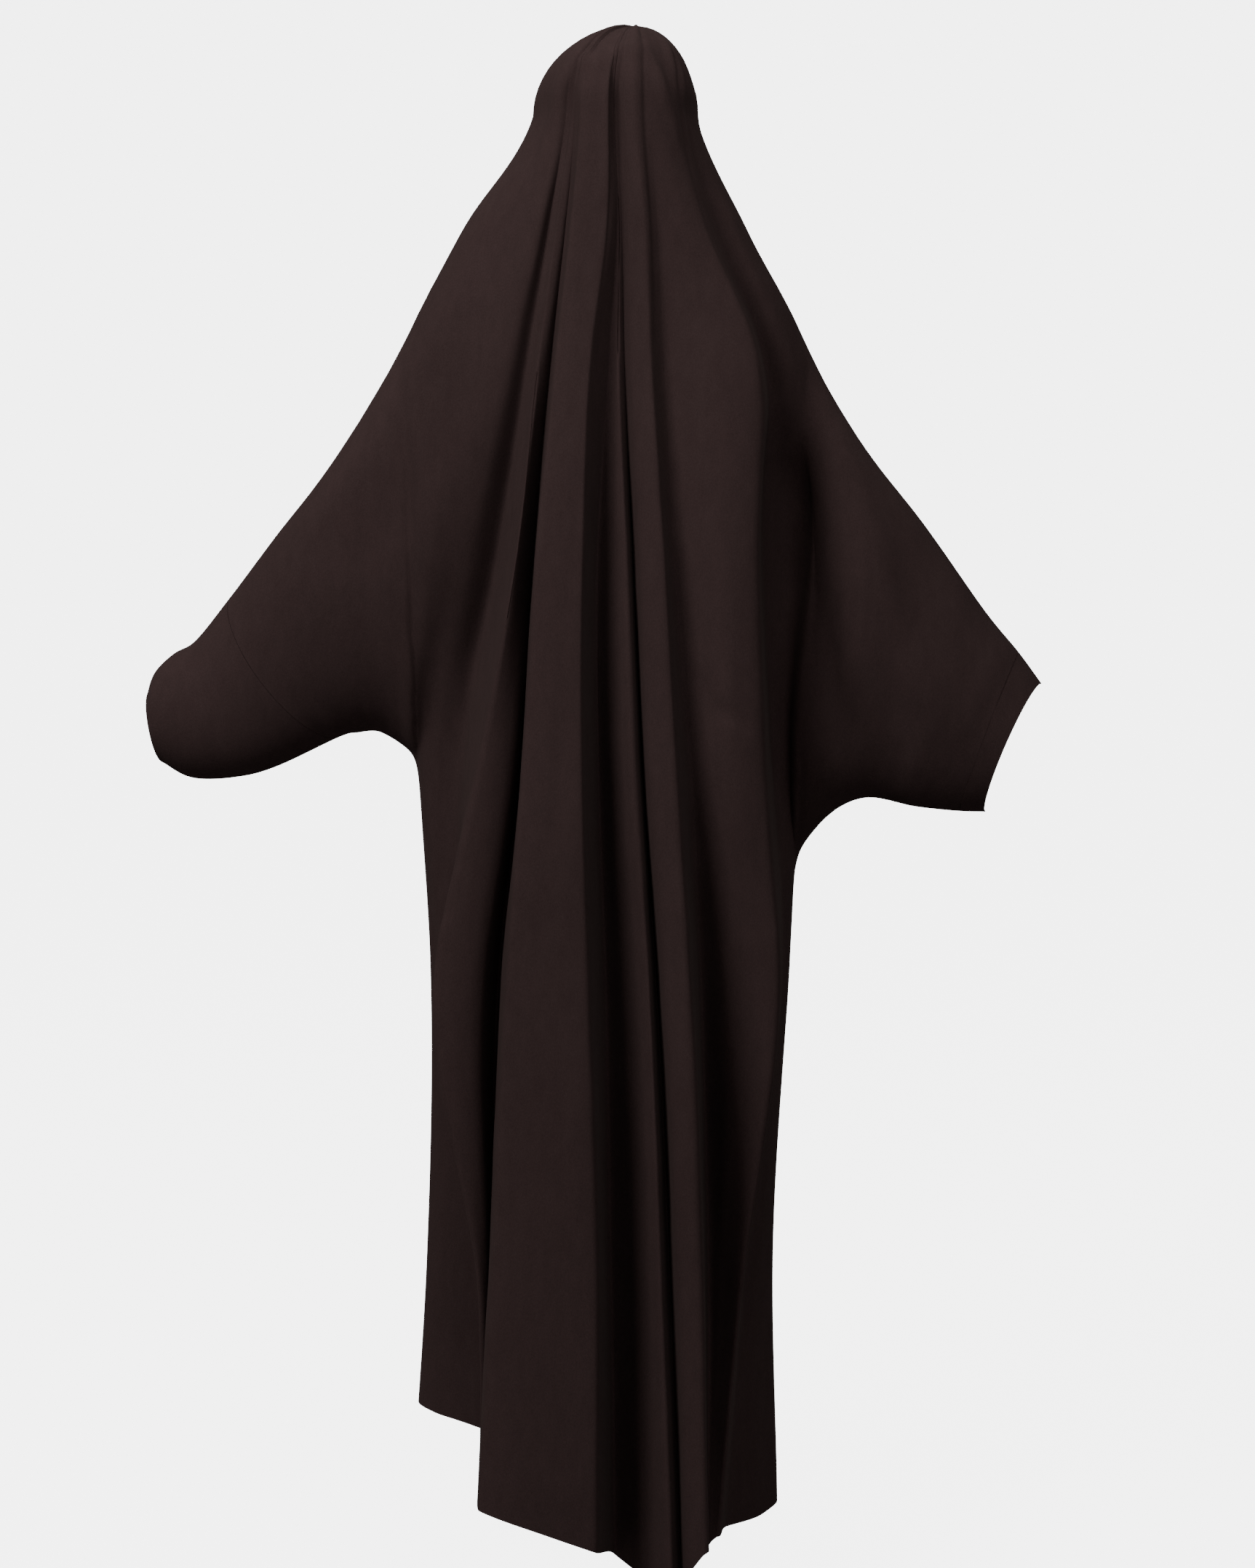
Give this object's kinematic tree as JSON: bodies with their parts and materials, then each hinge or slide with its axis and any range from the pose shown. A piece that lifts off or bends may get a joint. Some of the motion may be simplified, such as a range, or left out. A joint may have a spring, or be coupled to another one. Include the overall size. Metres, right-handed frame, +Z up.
{
  "type": "jilbab",
  "caption": "Long one-piece overhead jilbab with a hood, wide butterfly wings, sewn sleeve ends and a hem to the floor, shown as it hangs when worn with the arms held out.",
  "frame": {"origin": "inside the crown of the hood, where it rests on top of the head", "axes": "+Z up, +Y the way the wearer faces, +X to the wearer's right; the long back folds lie towards -Y"},
  "size_m": [1.0331, 0.5078, 1.7393],
  "materials": {
    "crepe": "matt crepe with a fine crinkled grain, warm brown-black"
  },
  "bodies": {
    "root": {"back_panel": "crepe", "front_panel": "crepe", "left_sleeve_end": "crepe", "right_sleeve_end": "crepe"}
  },
  "joints": []
}
